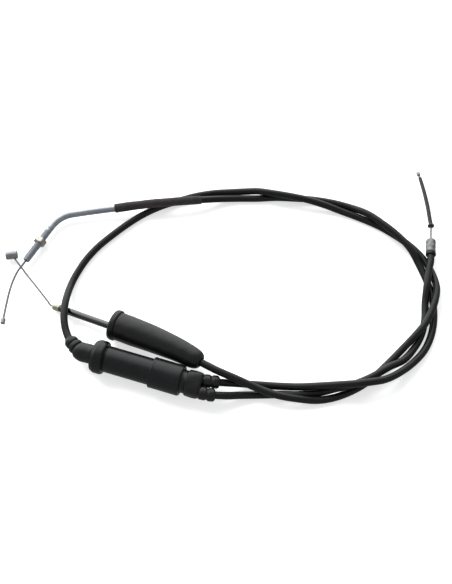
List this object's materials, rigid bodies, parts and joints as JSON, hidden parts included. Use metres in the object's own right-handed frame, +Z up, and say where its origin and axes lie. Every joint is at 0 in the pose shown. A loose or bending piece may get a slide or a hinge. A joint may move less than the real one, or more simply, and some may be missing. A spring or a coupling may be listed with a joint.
{
  "type": "throttle cable set",
  "caption": "Two-stroke throttle cable set: a grip cable with a tapered boot feeds a splitter, and an oil-pump cable with a bent pipe and a carburettor cable leave it.",
  "frame": {"origin": "on the surface the set lies on, under the middle of the box round its fittings, the free casings left out", "axes": "+Z up from that surface, +X along the longer side, from the grip end to the carburettor end, +Y away from the splitter"},
  "size_m": [0.3067, 0.1902, 0.0226],
  "materials": {
    "casing": "satin black extruded jacket",
    "rubber": "satin moulded rubber",
    "junction_plastic": "satin moulded plastic",
    "sleeve": "matt shrink sleeve",
    "gloss_black": "glossy black coating",
    "zinc": "bright zinc plate",
    "nut_zinc": "yellowish zinc plate",
    "brass": "pale satin brass",
    "wire": "stranded wire",
    "nipple": "cast zinc",
    "nylon": "moulded nylon"
  },
  "bodies": {
    "housing": {"junction_body": "junction_plastic", "junction_cap": "junction_plastic", "pump_end_ferrule": "zinc", "carb_end_ferrule": "zinc", "input_end_ferrule": "zinc", "input_boot": "rubber", "output_boot": "rubber", "grip_casing": "casing", "pump_casing": "casing", "carb_casing": "casing", "guide_ferrule": "zinc", "guide_tube": "gloss_black", "grip_ferrule": "brass", "shrink_sleeve": "sleeve", "elbow_pipe": "zinc", "threaded_adjuster": "zinc", "ferrule_ring": "junction_plastic", "carb_ferrule": "zinc"},
    "slider": {"junction_slider": "nylon", "input_inner_wire": "wire", "input_nipple": "nipple", "pump_inner_nipple": "nipple", "pump_inner_wire": "wire", "carb_inner_nipple": "nipple", "carb_inner_wire": "wire"},
    "grip_end": {"grip_wire": "wire", "drum_nipple": "nipple"},
    "pump_end": {"pump_wire": "wire", "pump_nipple": "nipple"},
    "carb_end": {"carb_wire": "wire", "wire_sleeve": "sleeve", "carb_nipple": "nipple"},
    "lock_nut": {"lock_nut": "nut_zinc"},
    "conical_boot": {"conical_boot": "rubber"}
  },
  "joints": [
    {"name": "grip_pull", "type": "slide", "parent": "housing", "child": "grip_end", "axis": [-0.9017, 0.4124, -0.13], "range_m": [0, 0.0095]},
    {"name": "slider_travel", "type": "slide", "parent": "housing", "child": "slider", "axis": [-0.9532, 0.3024, 0], "range_m": [0, 0.0095]},
    {"name": "pump_draw", "type": "slide", "parent": "housing", "child": "pump_end", "axis": [0.4725, 0.8813, 0], "range_m": [0, 0.0095]},
    {"name": "carb_draw", "type": "slide", "parent": "housing", "child": "carb_end", "axis": [-0.1212, -0.9922, 0.0303], "range_m": [0, 0.0095]},
    {"name": "lock_nut_turn", "type": "hinge", "parent": "housing", "child": "lock_nut", "pos_m": [-0.12976, 0.03074, 0.005], "axis": [-0.4725, -0.8813, 0], "continuous": true},
    {"name": "boot_slide", "type": "slide", "parent": "housing", "child": "conical_boot", "axis": [-0.8952, 0.4439, -0.0395], "range_m": [0, 0.008]}
  ],
  "couplings": [
    {"joint": "slider_travel", "follows": "grip_pull", "ratio": 1},
    {"joint": "pump_draw", "follows": "grip_pull", "ratio": 1},
    {"joint": "carb_draw", "follows": "grip_pull", "ratio": 1}
  ]
}
